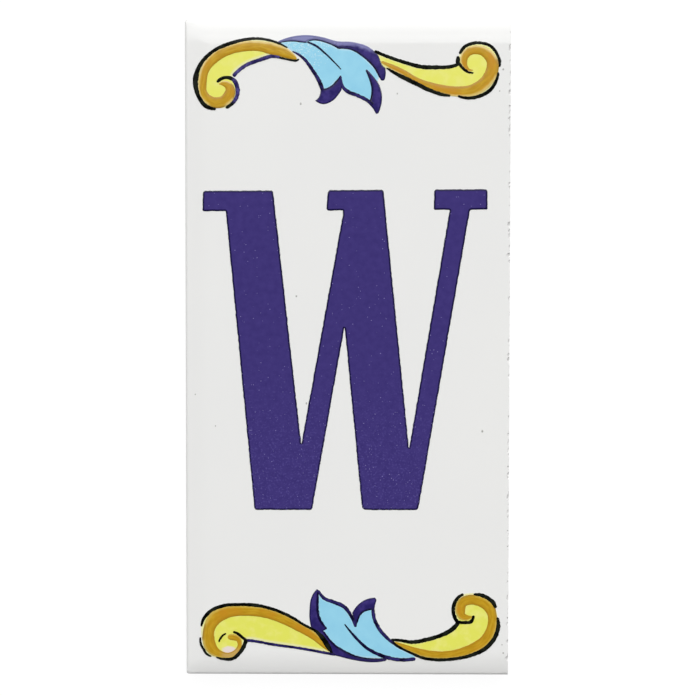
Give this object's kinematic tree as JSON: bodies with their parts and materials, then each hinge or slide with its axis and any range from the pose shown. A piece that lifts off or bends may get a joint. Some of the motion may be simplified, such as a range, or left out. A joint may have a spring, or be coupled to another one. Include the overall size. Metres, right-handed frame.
{
  "type": "ceramic letter tile",
  "caption": "Narrow glazed ceramic wall tile with a letter and scroll-and-leaf borders in raised enamel, moulded cushion edges and one saw-cut side, for spelling a house name.",
  "frame": {"origin": "middle of the tile's back, on the plane that it lies on", "axes": "+X to the right of the letter, towards the saw-cut side; +Y to the top of the letter; +Z out of the glazed face"},
  "size_m": [0.074, 0.15, 0.0071],
  "materials": {
    "white_glaze": "glossy opaque white glaze over a pale fired clay body",
    "bare_clay": "matt fired clay, bare on the back and the saw-cut side",
    "blue_enamel": "glossy dark blue-violet fired enamel with fine pinholes",
    "ochre_enamel": "glossy brushed ochre fired enamel",
    "yellow_enamel": "glossy lemon-yellow fired enamel",
    "sky_enamel": "glossy sky-blue fired enamel",
    "black_enamel": "glossy black drawn outline"
  },
  "bodies": {
    "root": {"letter_tile": "white_glaze"}
  },
  "joints": []
}
